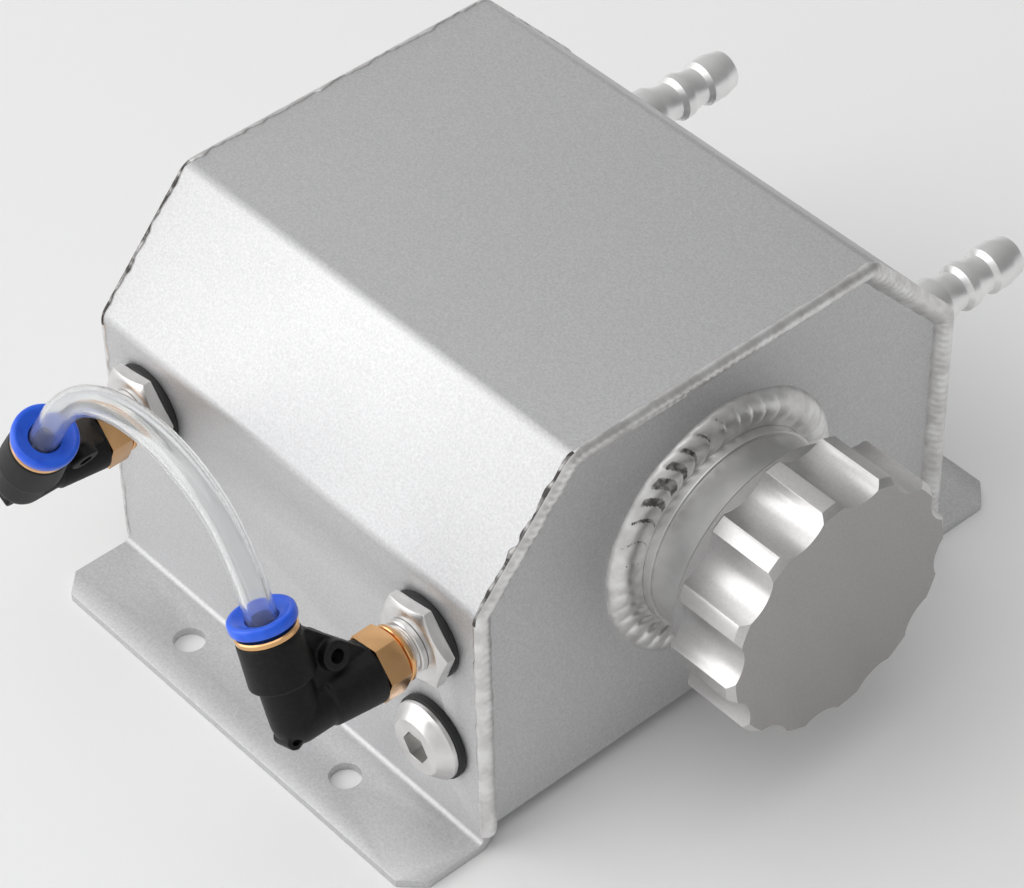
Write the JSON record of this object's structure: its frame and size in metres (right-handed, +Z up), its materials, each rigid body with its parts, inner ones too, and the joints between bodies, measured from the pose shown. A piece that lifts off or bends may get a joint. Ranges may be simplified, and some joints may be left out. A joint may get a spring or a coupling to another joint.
{
  "type": "coolant expansion tank",
  "caption": "Welded aluminium expansion tank with mounting flanges, screwed filler cap, hose barbs, drain plug and an arched clear level tube on push-in elbows.",
  "frame": {"origin": "centre of the four-hole mounting pattern, on the underside of the flanges", "axes": "+X towards the filler cap, +Z up, -Y towards the side with the level tube, +Y towards the hose barbs"},
  "size_m": [0.1422, 0.1909, 0.0964],
  "materials": {
    "sheet_aluminium": "fine bead-blasted satin",
    "weld_aluminium": "rippled weld, semi-bright",
    "turned_aluminium": "turned and milled, satin",
    "fitting_metal": "machined, lightly worn",
    "black_rubber": "matte",
    "brass": "machined brass",
    "black_plastic": "moulded, semi-matte",
    "blue_plastic": "moulded, glossy",
    "clear_plastic": "clear tube",
    "spring_steel": "stamped"
  },
  "bodies": {
    "tank": {"body_wrap": "sheet_aluminium", "cap_end_plate": "sheet_aluminium", "closed_end_plate": "sheet_aluminium", "bottom_plate": "sheet_aluminium", "neck_weld": "weld_aluminium", "cap_end_weld": "weld_aluminium", "closed_end_weld": "weld_aluminium", "bottom_weld": "weld_aluminium", "barb_weld_1": "weld_aluminium", "barb_weld_2": "weld_aluminium", "filler_neck": "turned_aluminium", "hose_barb_1": "turned_aluminium", "hose_barb_2": "turned_aluminium", "port_bung_1": "turned_aluminium", "port_bung_2": "turned_aluminium", "drain_bung": "turned_aluminium", "port_fitting_1": "fitting_metal", "port_fitting_2": "fitting_metal", "port_washer_1": "black_rubber", "port_washer_2": "black_rubber", "tube_seal_1": "black_rubber", "tube_seal_2": "black_rubber", "elbow_stud_1": "brass", "elbow_stud_2": "brass", "socket_ring_1": "brass", "socket_ring_2": "brass", "elbow_body_1": "black_plastic", "elbow_body_2": "black_plastic", "sight_tube": "clear_plastic", "grab_ring_1": "spring_steel", "grab_ring_2": "spring_steel"},
    "cap_lift": {"cap_seal": "black_rubber"},
    "cap": {"filler_cap": "turned_aluminium"},
    "plug_lift": {"drain_washer": "black_rubber"},
    "plug": {"drain_plug": "fitting_metal"},
    "collar_1": {"release_collar_1": "blue_plastic"},
    "collar_2": {"release_collar_2": "blue_plastic"}
  },
  "joints": [
    {"name": "cap_rise", "type": "slide", "parent": "tank", "child": "cap_lift", "axis": [1, 0, 0], "range_m": [0, 0.014]},
    {"name": "cap_turn", "type": "hinge", "parent": "cap_lift", "child": "cap", "pos_m": [0.075, 0, 0.0465], "axis": [1, 0, 0], "range_deg": [0, 1440]},
    {"name": "plug_rise", "type": "slide", "parent": "tank", "child": "plug_lift", "axis": [0, -1, 0], "range_m": [0, 0.01]},
    {"name": "plug_turn", "type": "hinge", "parent": "plug_lift", "child": "plug", "pos_m": [0.0423, -0.064, 0.0225], "axis": [0, -1, 0], "range_deg": [0, 3600]},
    {"name": "collar_press_1", "type": "slide", "parent": "tank", "child": "collar_1", "axis": [0.3746, 0, -0.9272], "range_m": [0, 0.0007], "stiffness_N_per_m": 2000},
    {"name": "collar_press_2", "type": "slide", "parent": "tank", "child": "collar_2", "axis": [-0.5, 0, -0.866], "range_m": [0, 0.0007], "stiffness_N_per_m": 2000}
  ],
  "couplings": [
    {"joint": "cap_rise", "follows": "cap_turn", "m_per_rad": 0.00055704},
    {"joint": "plug_rise", "follows": "plug_turn", "m_per_rad": 0.00015915}
  ]
}
